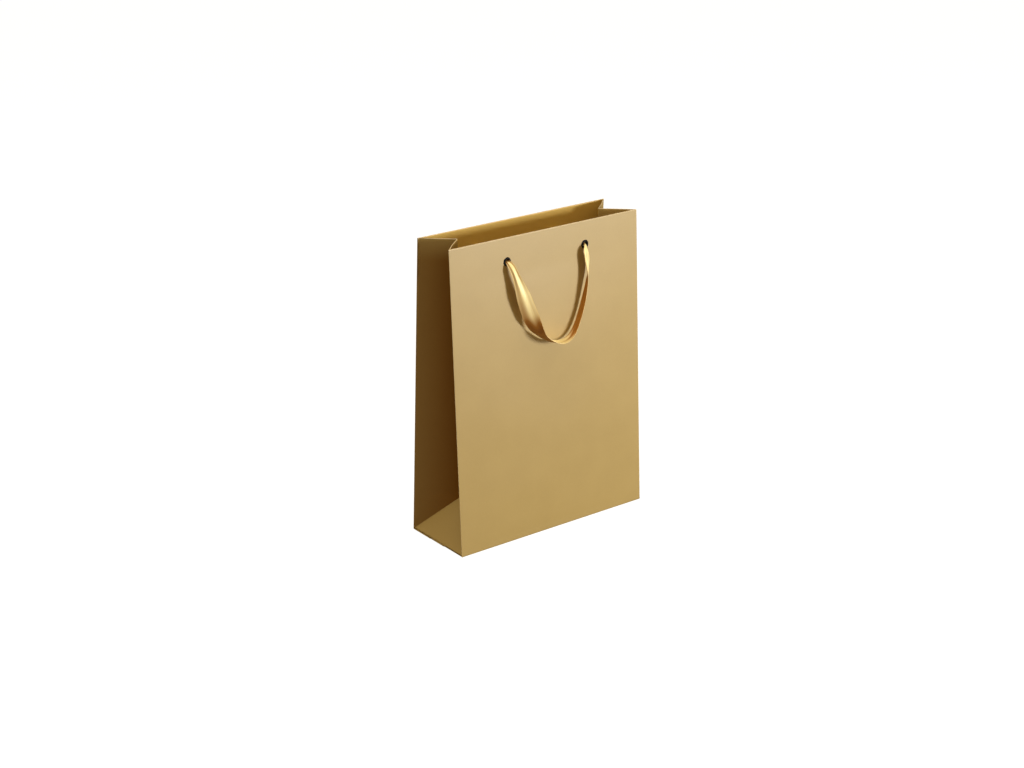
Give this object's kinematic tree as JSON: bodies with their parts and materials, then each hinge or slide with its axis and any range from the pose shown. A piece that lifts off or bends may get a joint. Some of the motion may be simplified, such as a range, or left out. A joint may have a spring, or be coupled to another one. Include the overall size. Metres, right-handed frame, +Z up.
{
  "type": "gift bag",
  "caption": "Upright gift bag of folded gold card with pushed-in side gussets, a stiff base, eyelets and swinging satin ribbon handles; folds flat.",
  "frame": {"origin": "centre of the base on its underside, on the floor", "axes": "+Z up, front panel faces -Y, +X to the right seen from the front"},
  "size_m": [0.24, 0.094, 0.3236],
  "materials": {
    "gold_card": "satin gold film-laminated card",
    "grey_board": "uncoated grey board",
    "black_metal": "black enamel",
    "gold_satin_ribbon": "satin weave, bright sheen"
  },
  "bodies": {
    "base": {"bottom_front_flap": "gold_card", "bottom_back_flap": "gold_card", "bottom_left_tuck": "gold_card", "bottom_right_tuck": "gold_card", "base_board": "grey_board"},
    "front_wall": {"front_panel": "gold_card", "front_rim_board": "grey_board", "front_rim_hem": "gold_card", "left_gusset_front_web": "gold_card", "right_gusset_front_web": "gold_card", "front_left_eyelet": "black_metal", "front_left_eyelet_washer": "black_metal", "front_left_ribbon_knot": "gold_satin_ribbon", "front_right_eyelet": "black_metal", "front_right_eyelet_washer": "black_metal", "front_right_ribbon_knot": "gold_satin_ribbon"},
    "back_wall": {"back_panel": "gold_card", "back_rim_board": "grey_board", "back_rim_hem": "gold_card", "side_seam_flap": "gold_card", "left_gusset_back_web": "gold_card", "right_gusset_back_web": "gold_card", "back_left_eyelet": "black_metal", "back_left_eyelet_washer": "black_metal", "back_left_ribbon_knot": "gold_satin_ribbon", "back_right_eyelet": "black_metal", "back_right_eyelet_washer": "black_metal", "back_right_ribbon_knot": "gold_satin_ribbon"},
    "back_fold": {"back_fold_strip": "gold_card", "left_gusset_back_corner": "gold_card", "right_gusset_back_corner": "gold_card"},
    "left_foot": {"left_gusset_foot": "gold_card"},
    "right_foot": {"right_gusset_foot": "gold_card"},
    "front_handle": {"front_ribbon_loop": "gold_satin_ribbon"},
    "back_handle": {"back_ribbon_loop": "gold_satin_ribbon"}
  },
  "joints": [
    {"name": "fold_flat", "type": "hinge", "parent": "base", "child": "front_wall", "pos_m": [0, -0.04289, 0.00498], "axis": [-1, 0, 0], "range_deg": [0, 84.49], "deforming": ["left_gusset_front_web", "right_gusset_front_web", "left_gusset_back_web", "right_gusset_back_web", "back_fold_strip", "left_gusset_back_corner", "right_gusset_back_corner", "left_gusset_foot", "right_gusset_foot"]},
    {"name": "walls_close", "type": "hinge", "parent": "front_wall", "child": "back_wall", "pos_m": [0, -0.00225, 0.57623], "axis": [-1, 0, 0], "range_deg": [0, 8.53]},
    {"name": "back_crease", "type": "hinge", "parent": "base", "child": "back_fold", "pos_m": [0, 0.04298, 0.00328], "axis": [1, 0, 0], "range_deg": [0, 86.7]},
    {"name": "left_foot_crease", "type": "hinge", "parent": "base", "child": "left_foot", "pos_m": [-0.11768, 0, 0.0023], "axis": [0, 1, 0], "range_deg": [0, 54.54]},
    {"name": "right_foot_crease", "type": "hinge", "parent": "base", "child": "right_foot", "pos_m": [0.11768, 0, 0.0023], "axis": [0, -1, 0], "range_deg": [0, 54.54]},
    {"name": "front_handle_swing", "type": "hinge", "parent": "front_wall", "child": "front_handle", "pos_m": [0, -0.03079, 0.29914], "axis": [-1, 0, 0], "range_deg": [0, 172]},
    {"name": "back_handle_swing", "type": "hinge", "parent": "back_wall", "child": "back_handle", "pos_m": [0, 0.03079, 0.29914], "axis": [1, 0, 0], "range_deg": [0, 172]}
  ],
  "couplings": [
    {"joint": "walls_close", "follows": "fold_flat", "ratio": 0.10078},
    {"joint": "back_crease", "follows": "fold_flat", "ratio": 1.026},
    {"joint": "left_foot_crease", "follows": "fold_flat", "ratio": 0.64543},
    {"joint": "right_foot_crease", "follows": "fold_flat", "ratio": 0.64543}
  ]
}
